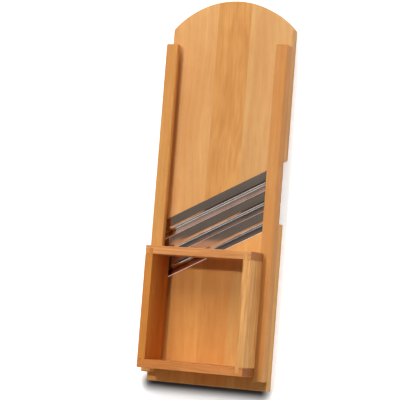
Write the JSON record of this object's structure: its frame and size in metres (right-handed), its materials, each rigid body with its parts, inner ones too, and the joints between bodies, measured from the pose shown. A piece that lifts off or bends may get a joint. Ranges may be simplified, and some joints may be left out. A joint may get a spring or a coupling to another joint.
{
  "type": "cabbage cutter",
  "caption": "Wooden cabbage shredder: a long arched board with slanted steel blades set in its mouth and an open wooden box that slides in grooved side rails.",
  "frame": {"origin": "middle of the footprint, on the back face of the boards, which is the face the cutter lies on", "axes": "X is the width, +Y runs along the rails to the arched end, +Z points out of the front, towards the user's hands"},
  "size_m": [0.178, 0.52, 0.0723],
  "materials": {
    "board_wood": "planed and lightly oiled, straight grain along the length",
    "rail_wood": "planed and lightly oiled, a shade darker than the boards",
    "box_wood": "planed and lightly oiled, end grain at the corner joints",
    "blade_steel": "polished, with a fine grind along the ramp behind each edge",
    "screw_steel": "bright zinc"
  },
  "bodies": {
    "frame": {"upper_left_stave": "board_wood", "upper_middle_stave": "board_wood", "upper_right_stave": "board_wood", "lower_left_stave": "board_wood", "lower_middle_stave": "board_wood", "lower_right_stave": "board_wood", "left_rail": "rail_wood", "right_rail": "rail_wood", "first_blade": "blade_steel", "second_blade": "blade_steel", "third_blade": "blade_steel", "left_blade_screws": "screw_steel", "right_blade_screws": "screw_steel", "upper_left_rail_screws": "screw_steel", "upper_right_rail_screws": "screw_steel", "lower_left_rail_screws": "screw_steel", "lower_right_rail_screws": "screw_steel"},
    "box": {"box_head_wall": "box_wood", "box_foot_wall": "box_wood", "box_left_wall": "box_wood", "box_right_wall": "box_wood"}
  },
  "joints": [
    {"name": "box_slide", "type": "slide", "parent": "frame", "child": "box", "axis": [0, 1, 0], "range_m": [-0.0065, 0.2775]}
  ]
}
